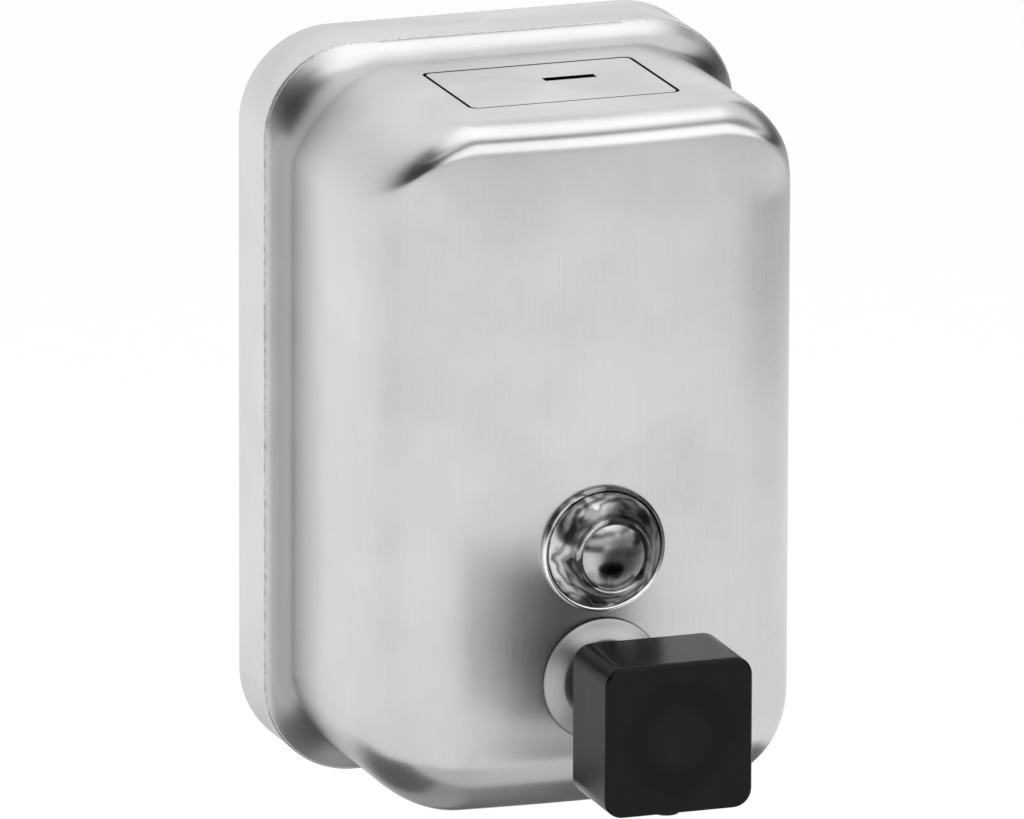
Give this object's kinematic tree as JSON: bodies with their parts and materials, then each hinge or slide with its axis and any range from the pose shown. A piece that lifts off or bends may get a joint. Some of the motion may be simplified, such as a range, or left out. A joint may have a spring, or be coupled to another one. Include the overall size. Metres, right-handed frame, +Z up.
{
  "type": "wall-hung soap dispenser",
  "caption": "Wall-hung satin steel soap tank with a square push button, a round domed sight gauge and a flush key-locked fill lid on top.",
  "frame": {"origin": "on the wall plane, at the middle of the four wall screw holes, which is the middle of the rim", "axes": "+X to the right seen from the front, +Y into the wall, +Z up"},
  "size_m": [0.11, 0.138, 0.1692],
  "materials": {
    "satin_steel": "satin, brushed lengthwise",
    "plain_steel": "mill finish",
    "turned_steel": "turned satin",
    "spring_steel": "bright drawn",
    "bright_chrome": "polished",
    "clear_lens": "clear polished acrylic",
    "black_plastic": "fine moulded satin",
    "pump_plastic": "natural moulded",
    "seal_rubber": "matt"
  },
  "bodies": {
    "dispenser": {"front_shell": "satin_steel", "rim_band": "satin_steel", "back_plate": "plain_steel", "hanger_clips": "plain_steel", "wall_bracket": "plain_steel", "lock_screw": "plain_steel", "filler_frame": "plain_steel", "hinge_pin": "plain_steel", "sight_bezel": "bright_chrome", "sight_lens": "clear_lens", "lens_oring": "seal_rubber", "sight_gasket": "seal_rubber", "sight_nut": "plain_steel", "valve_body": "pump_plastic", "valve_gasket": "seal_rubber", "valve_escutcheon": "turned_steel", "stem_wiper": "seal_rubber", "valve_end_cap": "pump_plastic", "ball_retainer": "pump_plastic", "dip_tube": "pump_plastic", "return_spring": "spring_steel"},
    "fill_lid": {"lid_plate": "satin_steel", "latch_guide": "plain_steel", "latch_spring": "spring_steel"},
    "lid_latch": {"latch_bolt": "plain_steel"},
    "plunger": {"plunger_stem": "turned_steel", "piston": "pump_plastic", "piston_seal": "seal_rubber", "push_button": "black_plastic", "spout_nozzle": "black_plastic", "duckbill_valve": "seal_rubber"},
    "inlet_ball": {"check_ball": "spring_steel"}
  },
  "joints": [
    {"name": "button_press", "type": "slide", "parent": "dispenser", "child": "plunger", "axis": [0, 1, 0], "range_m": [0, 0.015], "stiffness_N_per_m": 400, "springref_m": -0.02, "deforming": ["return_spring"]},
    {"name": "lid_hinge", "type": "hinge", "parent": "dispenser", "child": "fill_lid", "pos_m": [-0.018, -0.053, 0.0763], "axis": [0, -1, 0], "range_deg": [0, 95]},
    {"name": "latch_slide", "type": "slide", "parent": "fill_lid", "child": "lid_latch", "axis": [-1, 0, 0], "range_m": [0, 0.004], "stiffness_N_per_m": 300, "springref_m": -0.004, "deforming": ["latch_spring"]},
    {"name": "ball_lift", "type": "slide", "parent": "dispenser", "child": "inlet_ball", "axis": [0, -1, 0], "range_m": [0, 0.0015]}
  ]
}
